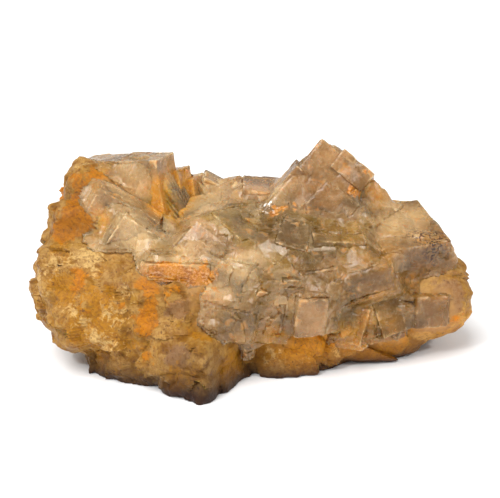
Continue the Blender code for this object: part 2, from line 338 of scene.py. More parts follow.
# Centre, size, turn in degrees about X, Y and Z, body colour, and the edges' wear if it isn't the usual.
CRYSTALS = {
    "left_back_crystals": (
        ((-30.6, 11.5, 40.2), (24, 9, 18), (-3, -10, -27), "beige"),
        ((-26.2, 13, 41.6), (9, 5, 16), (-3, -8, -27), "beige"),
        ((-20.5, 12.6, 37.5), (11, 7, 16), (-5, -12, -24), "beige"),
        ((-16.5, 15.2, 35.6), (9, 6, 14), (-5, -12, -24), "beige"),
    ),
    "left_front_crystals": (
        ((-33.4, 1.4, 34), (17, 10, 18), (-2, 29, -6), "beige"),
        ((-26.9, -4, 32.6), (14, 9, 11), (0, 33, -8), "pale"),
        ((-20.5, -8.5, 29.5), (9, 9, 8), (2, 4, 12), "brown"),
    ),
    "back_left_crystal": (
        ((-10.4, 19, 35.6), (9, 7, 11), (0, 29, 0), "beige"),
    ),
    "slab_crystals": (
        ((-8.7, 9.6, 31.8), (21, 11, 14), (12, -4, 24), "beige", 1.2),
        ((-3, -1.6, 30.2), (12, 13, 15), (16, 4, 39), "green"),
        ((4.5, 15, 34), (14, 12, 14), (0, 5, 0), "rose"),
        ((-17, 4.5, 30), (9, 9, 9), (8, 12, 28), "brown"),
    ),
    "peak_crystals": (
        ((16.4, 10, 39.4), (14.8, 14, 24.2), (-33, 33, -24), "haze", 0.9),
        ((25.8, 9.5, 45.9), (10, 9.8, 5.8), (-33, 33, -24), "haze"),
        ((20.4, 6.3, 37.2), (10.6, 10.5, 10.2), (-33, 33, -24), "haze"),
        ((10, 9, 44.5), (3, 6, 9), (0, 41, 0), "haze"),
    ),
    "amber_crystal": (
        ((30.6, 15, 34.6), (9, 8, 9), (5, 45, -10), "amber"),
    ),
    "right_crystal": (
        ((37.8, 6, 25.5), (18.5, 19.5, 17.5), (14, -2, 21), "tan", 0.7),
        ((41.3, 9.3, 29), (10, 9, 10), (14, -2, 32), "tan"),
    ),
    "dome_crystal": (
        ((26.5, -6.6, 26), (14.5, 15, 8), (8, -13, 11), "tan", 2),
    ),
    "middle_crystals": (
        ((5.2, -6.8, 27.3), (7, 11, 10), (20, 15, 25), "green"),
        ((4.9, -3.3, 29.2), (9, 8, 11), (15, 20, -15), "green"),
        ((10.4, -5, 31.2), (8, 9, 10), (22, 12, -12), "green"),
        ((15.5, -7.1, 25.1), (9, 13, 12), (15, -5, 10), "haze"),
        ((15.6, -8.5, 29.4), (5, 7, 4), (24, 30, 24), "pale"),
        ((21, -4.5, 31), (13, 9, 9), (10, 5, 10), "brown"),
        ((5.3, 4, 31), (10, 10, 12), (6, 3, -9), "green"),
        ((10.5, 1.5, 31.5), (9, 9, 12), (5, 2, 10), "green"),
        ((17, 1.5, 31), (10, 9, 10), (12, 8, -10), "haze"),
        ((24.5, 3, 31.5), (10, 9, 9), (8, -5, 16), "brown"),
        ((15, -10, 23), (10, 9, 9), (6, -4, 12), "green"),
        ((20.5, -9, 21.5), (8, 8, 9), (5, 12, -20), "green"),
    ),
    "ledge_crystals": (
        ((-10.4, -8.5, 30.6), (9, 13, 10), (38, -40, 32), "rose"),
        ((-17.6, -9.5, 26.3), (17, 13.5, 11), (2, 0, -2), "pale"),
        ((-3.3, -10.4, 25.7), (12, 15, 12), (-10, 10, -30), "pale", 1.8),
        ((1.9, -11.4, 22.9), (10, 12, 11), (30, 20, 30), "brown"),
        ((-3.7, -13.6, 18.1), (13, 13, 9), (5, 10, -15), "haze", 1.8),
        ((0.3, -12.2, 15.1), (9, 11, 9), (20, -20, 10), "haze"),
        ((5.5, -12, 19.5), (9, 9, 9), (15, 12, -20), "haze"),
        ((3.5, -11.5, 14), (10, 9, 8), (-8, 15, 25), "brown"),
    ),
    "block_crystals": (
        ((8.8, -12.4, 24.9), (5, 8, 7), (10, 6, 16), "pale"),
        ((10.2, -12.5, 22.7), (6.5, 11, 8), (5, 5, -8), "haze"),
        ((13.6, -13.5, 19.3), (8, 12, 11), (8, 3, 12), "haze", 0.9),
    ),
    "lower_crystals": (
        ((27.8, -7.4, 12.2), (6, 9, 10), (-15, 8, -30), "amber"),
        ((32.9, -5.4, 14.1), (7, 10, 11), (-20, -12, 25), "brown"),
        ((44, -2.6, 14.4), (9.5, 10, 8.5), (-4, 5, 20), "tan", 0.8),
        ((38.2, -3.1, 12.9), (4, 9, 11), (-10, 25, -10), "brown"),
        ((21.4, -8.2, 15.2), (6, 9, 10), (-15, -20, 30), "brown"),
        ((27.5, -4.5, 17.5), (10, 9, 9), (-12, 10, 18), "green"),
        ((21.5, -6, 13), (7, 8, 8), (-8, -12, 24), "brown"),
        ((34, -3.5, 12), (9, 8, 9), (-10, 22, 8), "amber"),
    ),
}
print("crystals:", sum(len(group) for group in CRYSTALS.values()), "in", len(CRYSTALS), "groups")

# %% Faces of one crystal
CRYSTAL_SQUARE = 0.42           # side of a square on a crystal's face
BEND_PLACES = (0.35, 0.7, 1)    # where the three places lie on the way round a worn edge
STEP_COUNT = 14                 # square steps in relief on one face
STEP_HEIGHT = 0.10              # the most that one step stands in
STEP_RANGE = (-1, 0.6)          # shares of that height, inwards and outwards
STEP_WIDTHS = (0.15, 0.7)       # a step's half width, as a share of the face's


def edge_graded(half, wear):
    """Places along one side of a box: even in the flat stretch, and three more round each worn edge."""
    inner = half - wear
    flat = np.linspace(-inner, inner, max(2, round(2 * inner / CRYSTAL_SQUARE)) + 1)
    bend = inner + wear * np.array(BEND_PLACES)
    return np.concatenate([-bend[::-1], flat, bend])


def face_steps(s, t, half_s, half_t, seed):
    """Relief of one face: rectangles in or out, each with its own place, size and height, added up."""
    random = np.random.default_rng(seed)
    relief = np.zeros(len(s))
    for _ in range(STEP_COUNT):
        at_s, at_t = random.uniform(-1, 1, 2) * (half_s, half_t)
        wide_s, wide_t = random.uniform(*STEP_WIDTHS, 2) * (half_s, half_t)
        height = random.uniform(*STEP_RANGE) * STEP_HEIGHT
        relief += height * ((np.abs(s - at_s) < wide_s) & (np.abs(t - at_t) < wide_t))
    return relief


# %% Points of one crystal
CHIP_DEPTH = 0.45               # a chip's depth, where its noise is highest
CHIP_FADE = 0.9                 # how soon the chips end, away from an edge
CHIP_BAND = 1.2                 # and none goes farther than this
CHIP_SCALE = 2.6
CHIP_FROM = 0.18                # there is a chip where the noise is above this
WAVE_HEIGHT = 0.04              # faces are never quite flat
WAVE_SCALE = 2.2


def crystal_points(size, wear, seed):
    """Points and quads of one crystal about its own centre.

    A point of the box is pulled back by the wear to an inner box and then out again along the way between
    them, which rounds the edges.  Each face it lies on then moves it by that face's relief.  Near an edge,
    smooth noise above a threshold pulls it towards the centre, as a chip.
    """
    half = np.array(size) / 2
    graded = [edge_graded(h, wear) for h in half]
    lattice, quads = box_of_squares([len(places) - 1 for places in graded])
    flat = np.column_stack([graded[axis][lattice[:, axis]] for axis in range(3)])
    inner = np.clip(flat, wear - half, half - wear)
    out = flat - inner
    points = inner + wear * out / np.maximum(np.linalg.norm(out, axis=1, keepdims=True), 1e-9)
    for axis in range(3):
        u, v = (axis + 1) % 3, (axis + 2) % 3
        for side in (-1, 1):
            on_face = flat[:, axis] == side * graded[axis][-1]
            face_seed = 10 * seed + 2 * axis + (side > 0)
            relief = face_steps(flat[on_face, u], flat[on_face, v], half[u], half[v], face_seed)
            points[on_face, axis] += side * relief
    to_faces = np.sort(half - np.abs(flat), axis=1)
    near_edge = np.exp(-(to_faces[:, 1] / CHIP_FADE) ** 2)
    broken = np.clip(cloudy_noise(flat + 31 * seed, CHIP_SCALE, 71) - CHIP_FROM, 0, 0.5) * 2
    points -= np.sign(flat) * (CHIP_DEPTH * near_edge * broken)[:, None] * (half - np.abs(flat) < CHIP_BAND)
    points += WAVE_HEIGHT * cloudy_noise(flat + 17 * seed, WAVE_SCALE, 81)[:, None] * np.sign(flat)
    return points, quads


# %% Groups joined in one skin
def join(obj, others):
    """Joins the others to obj with the Manifold solver, quick on closed skins, and removes them."""
    for other in others:
        modifier = obj.modifiers.new("join", "BOOLEAN")
        modifier.operation = "UNION"
        modifier.solver = "MANIFOLD"
        modifier.object = other
    bpy.context.view_layer.update()
    result = bpy.data.meshes.new_from_object(obj.evaluated_get(bpy.context.evaluated_depsgraph_get()))
    obj.modifiers.clear()
    obj.data = result
    obj.data.name = obj.name
    for other in others:
        bpy.data.objects.remove(other)


def crystal_group(name, seed):
    """The crystals of one group, each shaped and placed, and joined in one skin."""
    skins = []
    for number, (centre, size, turn, _, *wear) in enumerate(CRYSTALS[name]):
        points, quads = crystal_points(size, *(wear or [WEAR]), seed + number)
        skins.append(new_piece(name, points @ turn_matrix(turn).T + centre, quads))
    join(skins[0], skins[1:])
    skins[0].name = name + "_fine"
    return skins[0]


groups = {name: crystal_group(name, 100 * number) for number, name in enumerate(CRYSTALS)}
for name, obj in groups.items():
    print(name, len(obj.data.vertices), "points", len(obj.data.polygons), "faces")

# %% [markdown]
# ## The druse between the crystals
#
# The real surface has no deep gaps between its large crystals: small ones grew in every gap and filled it
# nearly flush.  Hundreds of small cubes could be scattered in the gaps, but each would have to be fitted
# to its neighbours.  One sheet with a top and an underside fits them all.  Rays go out from one point in
# the rock, and each finds how far out it leaves the last crystal or the rock.  Widening that map of
# distances and then narrowing it again by as much closes the narrow gaps in it.  In a gap the sheet lies
# on the closed map and is broken into small flat faces.  Elsewhere it lies well inside the crystals,
# where nothing shows of it.

# %% Measures of the druse
DRUSE_HEART = np.array((0, 6, 10))
DRUSE_CELLS = (250, 170)        # squares of the sheet across and up
DRUSE_SPAN = (80, 62)           # degrees that the sheet reaches to either side of its middle, across and up
DRUSE_MIDDLE = 38               # degrees that the middle of the sheet leans forward from straight up
DRUSE_WINDOW = (9, 9)           # squares by which the map is widened and narrowed
DRUSE_SMOOTH = (3, 3)           # squares over which it's then averaged, so that it has no creases
DRUSE_BARE = (-19, 8, 42)       # round this place, on the steps beside the big cube, it lies in the rock
DRUSE_BARE_REACH = 8
DRUSE_GAP = 0.25                # a gap is where the closed map lies more than this above the open one
DRUSE_MARGIN = (2, 2)           # squares of margin round a gap
DRUSE_UNDER = 0.55              # how far the sheet's margin lies inside the crystals round a gap
DRUSE_STEEP = 2                 # it stays deep where the map changes by more than this between squares
DRUSE_DEEP = 3.5                # how far inside it lies where there is no gap
DRUSE_THICK = 4
DRUSE_FACETS = (4, 0.16, 0.4, 161)              # scale, lean, limit and seed of its small flat faces


# %% Rays and maps for the druse

def block_exit(heart, ways, centre, size, turn):
    """How far out a ray from the heart leaves a block, and 0 where it misses.

    Along each of the block's own axes the ray is between the two faces from one distance to another.  It is
    in the block from the largest of the near distances to the smallest of the far ones.
    """
    turning = turn_matrix(turn)
    start = (heart - np.array(centre)) @ turning
    way = ways @ turning
    way = np.where(np.abs(way) < 1e-9, 1e-9, way)
    first = (-np.array(size) / 2 - start) / way
    second = (np.array(size) / 2 - start) / way
    enter = np.minimum(first, second).max(axis=1)
    leave = np.maximum(first, second).min(axis=1)
    return np.where((enter < leave) & (leave > 0), leave, 0)


def sliding(values, window, choose):
    """The largest, smallest or mean value in the window round each place of a map, across and then up."""
    for axis in (0, 1):
        reach = window[axis]
        padding = [(reach, reach) if k == axis else (0, 0) for k in (0, 1)]
        padded = np.pad(values, padding, mode="edge")
        length = values.shape[axis]
        shifted = [np.take(padded, range(k, k + length), axis=axis) for k in range(2 * reach + 1)]
        values = choose(shifted, axis=0)
    return values


def sheet_ways():
    """Directions of the sheet's places: turned to the side by one angle and up or down by the other."""
    across = np.radians(np.linspace(-DRUSE_SPAN[0], DRUSE_SPAN[0], DRUSE_CELLS[0] + 1))[:, None]
    up = np.radians(np.linspace(-DRUSE_SPAN[1], DRUSE_SPAN[1], DRUSE_CELLS[1] + 1))[None]
    lean = radians(DRUSE_MIDDLE)
    x = np.sin(across) + 0 * up
    ahead = np.cos(across) * np.cos(up)
    side = np.cos(across) * np.sin(up)
    y = side * np.cos(lean) - ahead * np.sin(lean)
    z = ahead * np.cos(lean) + side * np.sin(lean)
    return np.stack([x, y, z], axis=-1)


# %% Where the sheet lies
ways = sheet_ways()
flat_ways = ways.reshape(-1, 3)
blocks = [block for group in CRYSTALS.values() for block in group]
crystals_out = np.max([block_exit(DRUSE_HEART, flat_ways, *block[:3]) for block in blocks], axis=0)
rock_out = rock_radius(DRUSE_HEART, flat_ways)
map_out = np.maximum(crystals_out, rock_out).reshape(ways.shape[:2])
crystal_side = (crystals_out > rock_out).reshape(ways.shape[:2])
between_crystals = sliding(sliding(crystal_side, DRUSE_WINDOW, np.max), DRUSE_WINDOW, np.min)
closed = sliding(sliding(map_out, DRUSE_WINDOW, np.max), DRUSE_WINDOW, np.min)
closed = sliding(closed, DRUSE_SMOOTH, np.mean)
surface = DRUSE_HEART + ways * closed[..., None]
facets = small_breaks(surface.reshape(-1, 3), *DRUSE_FACETS).reshape(closed.shape)
bare = np.linalg.norm(surface - np.array(DRUSE_BARE), axis=-1) < DRUSE_BARE_REACH
change = sliding(closed, (1, 1), np.max) - sliding(closed, (1, 1), np.min)
in_gap = between_crystals & (closed - map_out > DRUSE_GAP) & (change < DRUSE_STEEP) & ~bare
margin = sliding(in_gap, DRUSE_MARGIN, np.max) & (change < 2 * DRUSE_STEEP)
top = np.where(margin, closed - DRUSE_UNDER, sliding(map_out, (1, 1), np.min) - DRUSE_DEEP)
top = np.where(in_gap, closed + facets, top)
top = np.where(bare, rock_out.reshape(closed.shape) - DRUSE_DEEP, top)

# %% The druse's mesh
lattice, druse_quads = box_of_squares((*DRUSE_CELLS, 1))
reach = top[lattice[:, 0], lattice[:, 1]] - DRUSE_THICK * (1 - lattice[:, 2])
druse = new_piece("druse", DRUSE_HEART + ways[lattice[:, 0], lattice[:, 1]] * reach[:, None], druse_quads)
print("druse:", len(druse.data.vertices), "points,", round(100 * in_gap.mean()), "% of the sheet in gaps")

# %% [markdown]
# ## What each point of a surface knows
#
# Natural colour follows the shape: edges are frosted, thin lines of iron mark where crystals touch, and
# rust has run down from the ledges.  Painted light and shade follow it too: the frost is partly a painted
# highlight, soft patches paint light on tops and lit faces and shade on faces turned away, and small glints
# are painted on.  It could be painted on by hand, but would then be lost with each change of the shape.  So
# every point of every mesh stores a few numbers, worked out from its place, and the materials read them.  A
# crystal's point finds the block it belongs to, how far it is from that block's edges, and how far from the
# other blocks and the rock.

# %% Crystal colours and distances
BODY_COLOURS = {
    "pale": (0.92, 0.62, 0.30),
    "beige": (0.86, 0.52, 0.22),
    "rose": (0.76, 0.44, 0.19),
    "haze": (0.69, 0.39, 0.15),
    "green": (0.51, 0.295, 0.050),
    "brown": (0.53, 0.27, 0.030),
    "tan": (0.66, 0.30, 0.030),
    "amber": (0.82, 0.37, 0.03),
}
BLOCKS = [(name, *block) for name, group in CRYSTALS.items() for block in group]


def block_gaps(points, centre, size, turn):
    """How far the points are beyond each pair of faces of a block, below zero within."""
    return np.abs((points - np.array(centre)) @ turn_matrix(turn)) - np.array(size) / 2


def block_distance(gaps):
    """Signed distance to the block: outside, the length of the gaps above zero; inside, the largest gap."""
    return np.linalg.norm(np.maximum(gaps, 0), axis=1) + np.minimum(gaps.max(axis=1), 0)


def fade(distance, reach):
    """1 at no distance, 0.37 at the reach, and soon nothing."""
    return np.exp(-(distance / reach) ** 2)


def blobs(points, places):
    """Sum of soft round patches: each has a centre, a radius and a strength."""
    total = np.zeros(len(points))
    for centre, radius, strength in places:
        total += strength * fade(np.linalg.norm(points - np.array(centre), axis=1), radius)
    return total


# %% Painting the crystals
FROST_AND_HIGHLIGHT_REACH = 0.5               # how soon the frost and its painted highlight end, away from an edge
SEAM_REACH = 0.4                # how soon the iron ends, away from a contact
CRYSTAL_BROKEN = 0.15           # how broken a crystal's surface is, where the druse's is 1
TONE_START, TONE_RANGE = 0.3, 0.4               # each face's own tone starts here and has this range


def paint_crystals(name, obj):
    """Stores colour, frost, seam, tone, stains, painted light and shade on a group of crystals or the
    druse.

    Frost, partly a painted highlight, fades with the distance from an edge, the middle one of the three
    gaps to the block's faces.  Tone is random for each face, and changes evenly across the crystal in a
    random direction.
    """
    points = mesh_points(obj)
    gaps = [block_gaps(points, *block[1:4]) for block in BLOCKS]
    distances = np.abs([block_distance(gap) for gap in gaps])
    mine = [number for number, block in enumerate(BLOCKS) if name in (None, block[0])]
    own = np.array(mine)[distances[mine].argmin(axis=0)]
    every = np.arange(len(points))
    own_gaps = np.sort(np.array(gaps)[own, every], axis=1)
    distances[own, every] = np.inf
    contact = np.minimum(distances.min(axis=0), np.abs(rock_distance(points)))
    colours = np.array([BODY_COLOURS[block[4]] for block in BLOCKS])
    paint(obj, "body", colours[own])
    whole = name is not None
    # Frost on the edges, partly a painted highlight.
    paint(obj, "frost_and_highlight", whole * fade(own_gaps[:, 1], FROST_AND_HIGHLIGHT_REACH))
    paint(obj, "seam", whole * fade(contact, SEAM_REACH))
    centres, sizes = [np.array([block[k] for block in BLOCKS])[own] for k in (1, 2)]
    turns = np.array([turn_matrix(block[3]) for block in BLOCKS])[own]
    local = np.einsum("ij,ijk->ik", (points - centres) / sizes, turns)
    face = np.abs(local).argmax(axis=1)
    side = local[every, face] > 0
    leaning = 2 * np.random.default_rng(152).random((len(BLOCKS), 3)) - 1
    gradient = np.einsum("ij,ij->i", local, leaning[own])
    paint(obj, "broken", np.full(len(points), CRYSTAL_BROKEN if whole else 1))
    face_tone = pick(np.column_stack([own, face, side]), 151)[:, 0]
    paint(obj, "tone", TONE_START + TONE_RANGE * face_tone + gradient)
    moved = wandering(points, 0.9, 2.5, 141)
    # Stains, and the painted light, shade and glints, each from its patches.
    for stain_name, places in CRYSTAL_STAINS.items():
        paint(obj, stain_name, np.clip(blobs(moved, places), 0, 1))


# %% Stains of the crystals, and their painted light, shade and glints
# Centre, radius and strength of each soft patch on the crystals, in the tables' frame.
CRYSTAL_STAINS = {
    "iron": (
        ((-22, 3, 45), 3, 0.9), ((-22, 2, 40), 4, 1), ((-18, 8, 42), 6, 1.3), ((-20, 6, 37), 4, 1),
        ((-16, 12, 43), 3, 0.8), ((-38, -1, 47), 3, 0.6), ((-37, -3, 38), 4, 0.8),
        ((-38, 7, 47), 4, 0.8), ((-31, -5, 33), 2, 0.5), ((-24, -16, 29), 3, 0.9),
        ((-18, -17, 29), 3, 0.9), ((-12, -17, 29), 3, 0.8), ((22, -13, 10), 4, 0.9),
        ((27, -12, 11), 4, 0.5), ((35, -10, 12), 3, 0.5), ((9, -14, 14), 3, 0.8), ((31, 10, 41), 4, 1),
        ((4, -14, 12), 5, 0.6), ((-3, -19, 15), 4, 0.4), ((40, -8, 15), 3, 0.4),
    ),
    "rust": (
        ((8, 2, 38.6), 1.6, 1), ((5.5, 1.5, 37.6), 1.6, 1), ((10.5, 2, 39), 1.2, 0.7),
        ((18, -4, 36), 0.9, 0.8), ((9, -14, 15), 1.2, 0.7), ((-14, -17, 28), 3, 1.1),
        ((-20, -17, 30), 2.6, 1.1), ((-10, -17, 29), 2.4, 1.1), ((-17, -17, 29.5), 2.4, 1),
        ((-23, -17, 29), 2.4, 1), ((-33, -4, 44), 1.5, 0.5), ((12.5, 3, 38), 0.8, 0.5),
        ((25.5, 3.5, 43), 1.5, 1.1), ((28.5, 5, 47), 0.8, 0.8),
    ),
    # Painted glints: places where small bright spots are painted into the colour.
    "painted_glint_places": (
        ((5, 3, 40), 2.6, 1), ((3, 3, 38), 2, 0.8), ((19, 0, 36), 1.6, 0.8), ((23, -15, 28), 2.2, 0.8),
        ((6, -4, 35), 2, 0.9), ((11, -8, 35), 1.2, 0.6), ((47, 0, 33), 2, 0.6),
        ((-4, -20, 21), 2.2, 0.5),
    ),
    # Painted light: paler patches on tops and lit faces.
    "light": (
        ((-29, 6, 46), 7, 0.6), ((-33, -4, 41), 5, 0.4), ((-28, -9, 35), 6, 0.9), ((-11, 8, 39), 7, 0.8),
        ((-16, 6, 38), 4, 0.4), ((-17, -12, 33), 5, 0.6), ((-9, -14, 32), 4, 0.4),
        ((-3, -17, 31), 5, 0.6), ((7, 4, 41), 5, 0.7), ((38, 5, 34), 8, 0.8), ((45, 12, 35), 5, 0.4),
        ((6, -18, 24), 3, 0.5), ((-5, -20, 21), 3, 0.3),
    ),
    # Painted shade: darker patches on faces turned from the light, under overhangs and in recesses.
    "shade": (
        ((39, -6, 27), 6, 0.7), ((45, -4, 24), 6, 0.8), ((44, -8, 14), 5, 0.8), ((-18, 9, 42), 5, 0.7),
        ((14, 6, 49), 3, 0.5), ((16, 5, 45), 3.5, 0.6), ((17, 3, 41), 3.5, 0.5), ((20, 2, 40), 5, 0.35),
        ((8, -7, 36), 7, 1.2), ((22, -13, 21), 4, 0.8), ((26, 4, 47), 4, 0.8), ((2, -19, 23), 3, 0.5),
        ((29, -14, 26), 5, 0.8), ((15, -15, 28), 5, 1.0), ((-18, -3, 33), 3, 0.5),
        ((-10, -13, 34), 4, 0.6), ((38, -6, 14), 6, 0.9),
    ),
    "specks": (
        ((42, -1, 33), 4, 1), ((46, -1, 29), 4, 0.9), ((47, -1, 33), 3, 0.8), ((44, -2, 25), 4, 0.5),
    ),
}
for name, obj in groups.items():
    paint_crystals(name, obj)
paint_crystals(None, druse)

# %% [markdown]
# ## The stains of the rock
#
# Iron has run down the real rock in orange streaks, and between them it is ochre, cream or mauve.  Noise
# alone could spread these colours, but they would lie anywhere.  So where each one lies is a table of
# soft patches, as for the crystals.  Noise bends the patches, so that no round edge shows, and it adds
# colour at the back, where there are no patches.

# %% Stains and painted shade of the rock
# Centre, radius and strength of each soft patch, in the tables' frame.
RUST = (
    ((-41, -13, 28), 2.5, 1), ((-41, -15, 25), 2, 0.9), ((-39, -17, 21), 2, 0.8),
    ((-36, -18, 16), 2, 0.5), ((-24, -18, 26), 2.5, 1), ((-24, -19, 22), 2, 0.8),
    ((-25, -19, 18), 2.4, 1), ((-25, -21, 14), 2.2, 0.9), ((-26, -21, 10), 2, 0.6),
    ((-31, -19, 22), 1.3, 0.9), ((-42, -1, 41), 3, 0.9), ((-40, 4, 46), 3.5, 0.9),
    ((-37, 6, 48), 3, 0.6), ((-44, -3, 38), 4, 1.0), ((-46, -6, 35), 3, 0.8), ((-18, -19, 25), 4, 0.7),
    ((-12, -18, 25), 3, 0.6), ((17, -13, 10), 3, 0.5), ((-17, 9, 41), 6, 1.3), ((24, -10, 9), 3, 0.6),
    ((43, -5, 11), 2.5, 0.5), ((52, -4, 12), 3, 0.4), ((-8, -24, 12), 3, 0.3),
)
OCHRE = (
    ((-36, -18, 20), 7, 0.8), ((-46, -13, 26), 6, 0.6), ((-34, -16, 8), 8, 0.5),
    ((-12, -21, 15), 5, 0.7), ((-17, -26, 4), 6, 0.6), ((2, -13, 8), 8, 0.9), ((15, -13, 8), 7, 0.9),
    ((28, -9, 6), 8, 0.8), ((38, -6, 6), 6, 0.6), ((-5, -20, 5), 5, 0.7), ((-45, -8, 33), 5, 0.5),
    ((-43, -15, 14), 7, 0.4),
)
CREAM = (
    ((-38, -10, 31), 4, 0.9), ((-46, -11, 31), 4, 0.7), ((-30, -18, 22), 5, 0.5),
    ((-17, -25, 13), 4, 0.3), ((-42, -16, 18), 4, 0.5), ((-47, 1, 41), 2, 0.9),
    ((-44, -6, 36), 1.6, 0.8), ((-41, 8, 48), 2, 0.6), ((10, -13, 4), 4, 0.7), ((-22, -22, 5), 4, 0.4),
    ((33, -8, 7), 3, 0.6), ((22, -11, 5), 3, 0.7), ((3, -14, 7), 3, 0.6), ((-50, -9, 24), 4, 0.6),
    ((-36, -18, 12), 6.5, 0.7),
)
MAUVE = (
    ((-17, -25, 12), 4, 0.9), ((-17, -19, 21), 4, 0.8), ((-29, -18, 26), 3, 0.5), ((48, -5, 12), 5, 0.9),
    ((52, -4, 19), 5, 0.8), ((-31, -19, 14), 3, 0.4), ((-46, -15, 20), 3, 0.4), ((43, -5, 14), 5, 0.6),
)

# Painted shade: the rock is painted darker at the foot's tip, between the steps and along the shoulder's
# edge.
PAINTED_SHADE_PLACES = (
    ((-14, -26, 8), 9, 0.4), ((-17, 9, 41), 5, 0.35), ((-44, 2, 43), 5, 0.25), ((-45, -5, 37), 5, 0.35),
)

# %% Painting the rock
STAIN_NOISE = 0.5               # how much noise is added to the patches
STAIN_CUT = 0.12                # and how much is taken off again, so that thin stains vanish
BACK_START, BACK_WIDTH = -4, 12                 # from this depth backwards noise adds more and more stain
ROCK_SEAM = 1.2                 # how soon the druse ends, away from a crystal
PAINTED_SHADE_HEIGHT = 8                # below this height the rock is painted darker towards the floor, as painted shade


def stain(points, places, scale, seed, at_back):
    """A stain's strength, 0 to 1: its patches plus noise, with more noise at the back by that factor."""
    moved = wandering(points, 1.5, 4, seed + 1)
    back = np.clip((points[:, 1] - BACK_START) / BACK_WIDTH, 0, 1)
    value = blobs(moved, places) + STAIN_NOISE * cloudy_noise(points, scale, seed) - STAIN_CUT
    value += back * at_back * np.clip(cloudy_noise(points, 2.5 * scale, seed + 7), 0, 1)
    return np.clip(value, 0, 1)


rock_points = mesh_points(rock)
for name, *recipe in (("rust", RUST, 4, 101, 1.2), ("ochre", OCHRE, 6, 111, 1.6),
                      ("cream", CREAM, 5, 121, 1.2), ("mauve", MAUVE, 5, 131, 1.0)):
    strength = stain(rock_points, *recipe)
    paint(rock, name, strength)
    print(name, "on the rock, mean:", strength.mean().round(3))
nearest_crystal = np.min([block_distance(block_gaps(rock_points, *block[1:4])) for block in BLOCKS], axis=0)
paint(rock, "seam", fade(np.maximum(nearest_crystal, 0), ROCK_SEAM))
# Painted shade: darker towards the floor and in the places listed above.
under = np.clip((PAINTED_SHADE_HEIGHT - rock_points[:, 2]) / PAINTED_SHADE_HEIGHT, 0, 1) + blobs(rock_points, PAINTED_SHADE_PLACES)
paint(rock, "under", np.clip(under, 0, 1))

# Painted light: the base's right front, below the overhangs, is painted paler.  The first factor grows
# to the right, the second towards the floor.
paint(rock, "painted_light", np.clip(rock_points[:, 0] / 15, 0, 1) * np.clip((16 - rock_points[:, 2]) / 6, 0, 1))

# %% [markdown]
# ## Materials from nodes
#
# A material is a small tree of nodes.  It could be drawn in the shader editor, but a script can be read,
# repeated and changed in one place.  One helper adds a node, sets its plain values and draws the links
# that come into it, so each material below reads from top to bottom as a recipe.

# %% Node helpers
def add(tree, kind, inputs=None, **settings):
    """Adds a node, sets its settings, and gives each input a value or a link from another node's output."""
    node = tree.nodes.new("ShaderNode" + kind)
    for key, value in settings.items():
        setattr(node, key, value)
    for key, value in (inputs or {}).items():
        if isinstance(value, bpy.types.NodeSocket):
            tree.links.new(value, node.inputs[key])
        else:
            node.inputs[key].default_value = value
    return node


def new_material(name):
    """An empty material's tree, with its shader, its output and the object's own coordinates in metres."""
    material = bpy.data.materials.new(name)
    material.use_nodes = True
    tree = material.node_tree
    shader = tree.nodes["Principled BSDF"]
    place = add(tree, "TexCoord").outputs["Object"]
    return material, tree, shader, place


def noise(tree, place, scale, detail=3, distortion=0, roughness=0.55):
    """Noise with that many swings to the metre, and layers of finer noise on it as detail asks."""
    values = {"Vector": place, "Scale": scale, "Detail": detail, "Distortion": distortion,
              "Roughness": roughness}
    return add(tree, "TexNoise", values).outputs["Fac"]


def spread(tree, value, low, high, to_low=0.0, to_high=1.0):
    """Maps low-high to to_low-to_high and holds it there."""
    values = {"Value": value, "From Min": low, "From Max": high, "To Min": to_low, "To Max": to_high}
    return add(tree, "MapRange", values).outputs["Result"]


def number(tree, name):
    """A number stored on the points."""
    return add(tree, "Attribute", attribute_name=name).outputs["Fac"]


def math(tree, operation, first, second):
    """One sum of two numbers."""
    return add(tree, "Math", {0: first, 1: second}, operation=operation).outputs[0]


def times(tree, first, second):
    """The product of two numbers."""
    return math(tree, "MULTIPLY", first, second)


def largest(tree, first, *others):
    """The largest of some numbers."""
    for other in others:
        first = math(tree, "MAXIMUM", first, other)
    return first


def mix(tree, amount, first, second, blend="MIX"):
    """Mixes two colours by an amount."""
    node = add(tree, "Mix", {0: amount}, data_type="RGBA", blend_type=blend)
    for place, colour in ((6, first), (7, second)):
        if isinstance(colour, bpy.types.NodeSocket):
            tree.links.new(colour, node.inputs[place])
        else:
            node.inputs[place].default_value = (*colour, 1)
    return node.outputs[2]


def bump(tree, height, distance, strength=1.0, below=None):
    """Small relief of that distance in metres, laid over another bump if there is one."""
    values = {"Height": height, "Distance": distance, "Strength": strength}
    if below:
        values["Normal"] = below
    return add(tree, "Bump", values).outputs["Normal"]


# %% [markdown]
# ## The finish of the rock
#
# Quartzy vein rock is never one colour: a tan body is mixed with pale grains, the stains lie over it in
# ragged patches, and thin dark lines and specks cross it all.  A flat image wrapped round the rock would
# stretch and show a seam, while noise in the object's own space has neither.  So each layer is one mix
# of a named tint, and its amount comes from a noise or from the numbers on the points.

# %% Rock colour
ROCK_TINTS = {
    "dark body": (0.20, 0.078, 0.003),
    "light body": (0.36, 0.18, 0.022),
    "pale grain": (0.47, 0.27, 0.075),
    "mauve": (0.29, 0.155, 0.065),
    "ochre": (0.41, 0.175, 0.006),
    "cream": (0.62, 0.40, 0.14),
    "rust": (0.50, 0.172, 0.0),
    "deep rust": (0.32, 0.095, 0.0),
    "fine dark": (0.22, 0.08, 0.008),
    "line": (0.16, 0.055, 0.008),
    "speck": (0.10, 0.04, 0.015),
    "druse": (0.46, 0.25, 0.08),
    "under": (0.09, 0.05, 0.02),            # painted shade and painted light: these two multiply the colour
    "painted_light": (1.5, 1.4, 1.2),
}


